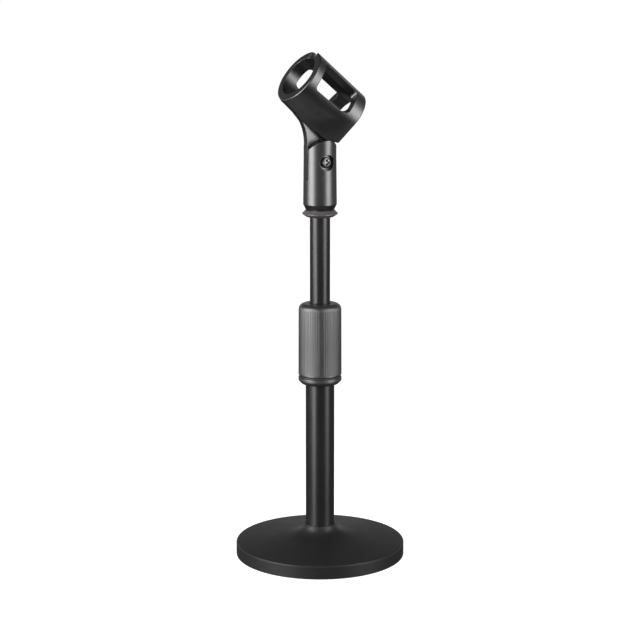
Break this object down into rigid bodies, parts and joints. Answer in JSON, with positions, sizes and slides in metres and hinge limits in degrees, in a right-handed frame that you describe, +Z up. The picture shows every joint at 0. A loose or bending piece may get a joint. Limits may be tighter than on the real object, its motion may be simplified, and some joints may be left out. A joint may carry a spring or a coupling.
{
  "type": "desktop microphone stand",
  "caption": "Desktop microphone stand: heavy round base, twist-lock telescopic tube, tilting slotted holder for a handheld microphone.",
  "frame": {"origin": "middle of the rubber ring's underside, on the surface that the stand rests on", "axes": "+Z up along the tubes, the holder opens towards -X, the pivot screw's head faces -Y"},
  "size_m": [0.1356, 0.1356, 0.404],
  "materials": {
    "base_coat": "matte black powder coat",
    "tube_coat": "satin black paint",
    "ring_coat": "satin black paint",
    "clutch_plastic": "matte black",
    "grip_plastic": "matte black, ribbed",
    "clip_plastic": "satin black moulded plastic",
    "nylon_black": "black nylon",
    "nylon_white": "natural nylon",
    "rubber": "matte black rubber",
    "zinc_steel": "zinc plated",
    "bare_steel": "bare turned steel",
    "screw_steel": "bright plated",
    "brass": "turned brass"
  },
  "bodies": {
    "base": {"base_plate": "base_coat", "base_pad": "rubber", "base_screw": "zinc_steel", "base_washer": "zinc_steel", "tube_plug": "bare_steel", "lower_tube": "tube_coat", "clutch_body": "clutch_plastic", "clutch_washer": "nylon_black", "clutch_collet": "nylon_white"},
    "grip": {"clutch_grip": "grip_plastic"},
    "slider": {"guide_bushing": "nylon_white"},
    "riser": {"upper_tube": "tube_coat", "retaining_ring": "zinc_steel", "end_plug": "nylon_black", "top_stud": "bare_steel"},
    "lock_ring": {"lock_flange": "ring_coat"},
    "clip": {"clip_stem": "clip_plastic", "thread_insert": "brass", "pivot_screw": "screw_steel", "pivot_nut": "zinc_steel", "pivot_lock_washer": "zinc_steel", "pivot_washers": "nylon_black"},
    "holder": {"clip_holder": "clip_plastic"}
  },
  "joints": [
    {"name": "grip_turn", "type": "hinge", "parent": "base", "child": "grip", "pos_m": [0, 0, 0.18], "axis": [0, 0, 1], "range_deg": [0, 180]},
    {"name": "height", "type": "slide", "parent": "base", "child": "slider", "axis": [0, 0, 1], "range_m": [-0.06, 0.05]},
    {"name": "riser_turn", "type": "hinge", "parent": "slider", "child": "riser", "pos_m": [0, 0, 0.1], "axis": [0, 0, 1], "continuous": true},
    {"name": "lock_ring_turn", "type": "hinge", "parent": "riser", "child": "lock_ring", "pos_m": [0, 0, 0.28], "axis": [0, 0, 1], "continuous": true},
    {"name": "clip_turn", "type": "hinge", "parent": "riser", "child": "clip", "pos_m": [0, 0, 0.295], "axis": [0, 0, 1], "continuous": true},
    {"name": "tilt", "type": "hinge", "parent": "clip", "child": "holder", "pos_m": [0, 0, 0.3194], "axis": [0, 1, 0], "range_deg": [-85, 85]}
  ]
}
